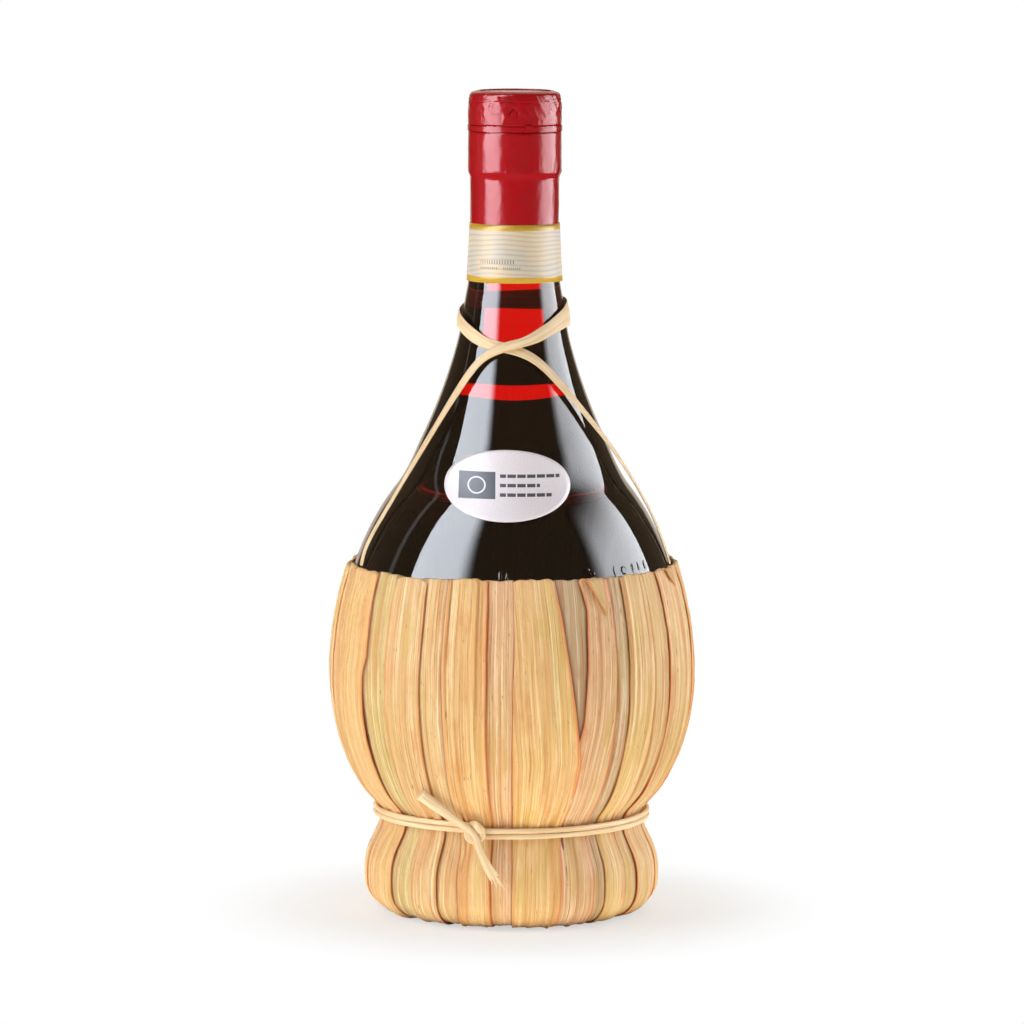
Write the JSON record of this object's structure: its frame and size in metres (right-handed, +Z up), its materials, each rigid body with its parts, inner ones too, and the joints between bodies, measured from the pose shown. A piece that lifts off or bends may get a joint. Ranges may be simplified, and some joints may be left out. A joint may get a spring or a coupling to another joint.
{
  "type": "straw-dressed wine flask",
  "caption": "Round-bulbed glass wine flask dressed in dried leaves tied with raffia, with a cork under a red tear-off capsule.",
  "frame": {"origin": "on the ground, at the centre of the foot, under the bottle's axis", "axes": "+Z up along the bottle's axis, -Y towards the front with the sticker and the knot, +X to the viewer's right"},
  "size_m": [0.1228, 0.1228, 0.2744],
  "materials": {
    "glass": "gloss",
    "wine": "gloss",
    "cork": "matte",
    "capsule": "gloss",
    "tear_strip": "gloss",
    "band_paper": "satin",
    "sticker_paper": "satin",
    "raffia": "satin",
    "straw_leaf": "satin",
    "straw_ring": "matte",
    "hoop_cord": "matte"
  },
  "bodies": {
    "flask": {"glass_bulb": "glass", "glass_shoulder": "glass", "glass_neck": "glass", "wine_fill": "wine", "capsule_skirt": "capsule", "neck_band": "band_paper", "oval_sticker": "sticker_paper", "neck_strap": "raffia", "waist_tie": "raffia", "waist_knot": "raffia", "rim_hoop": "hoop_cord", "foot_ring": "straw_ring", "straw_leaf_01": "straw_leaf", "straw_leaf_02": "straw_leaf", "straw_leaf_03": "straw_leaf", "straw_leaf_04": "straw_leaf", "straw_leaf_05": "straw_leaf", "straw_leaf_06": "straw_leaf", "straw_leaf_07": "straw_leaf", "straw_leaf_08": "straw_leaf", "straw_leaf_09": "straw_leaf", "straw_leaf_10": "straw_leaf", "straw_leaf_11": "straw_leaf", "straw_leaf_12": "straw_leaf", "straw_leaf_13": "straw_leaf", "straw_leaf_14": "straw_leaf", "straw_leaf_15": "straw_leaf", "straw_leaf_16": "straw_leaf", "straw_leaf_17": "straw_leaf", "straw_leaf_18": "straw_leaf", "straw_leaf_19": "straw_leaf", "straw_leaf_20": "straw_leaf", "straw_leaf_21": "straw_leaf", "straw_leaf_22": "straw_leaf", "straw_leaf_23": "straw_leaf", "straw_leaf_24": "straw_leaf", "straw_leaf_25": "straw_leaf", "straw_leaf_26": "straw_leaf", "straw_leaf_27": "straw_leaf", "straw_leaf_28": "straw_leaf", "straw_leaf_29": "straw_leaf", "straw_leaf_30": "straw_leaf", "straw_leaf_31": "straw_leaf", "straw_leaf_32": "straw_leaf"},
    "capsule_top": {"capsule_cap": "capsule", "capsule_disc": "capsule", "tear_strip": "tear_strip"},
    "cork": {"cork": "cork"}
  },
  "joints": [
    {"name": "capsule_lift", "type": "slide", "parent": "flask", "child": "capsule_top", "axis": [0, 0, 1], "range_m": [0, 0.11]},
    {"name": "cork_draw", "type": "slide", "parent": "flask", "child": "cork", "axis": [0, 0, 1], "range_m": [0, 0.055]}
  ],
  "couplings": [
    {"joint": "cork_draw", "follows": "capsule_lift", "ratio": 0.5}
  ]
}
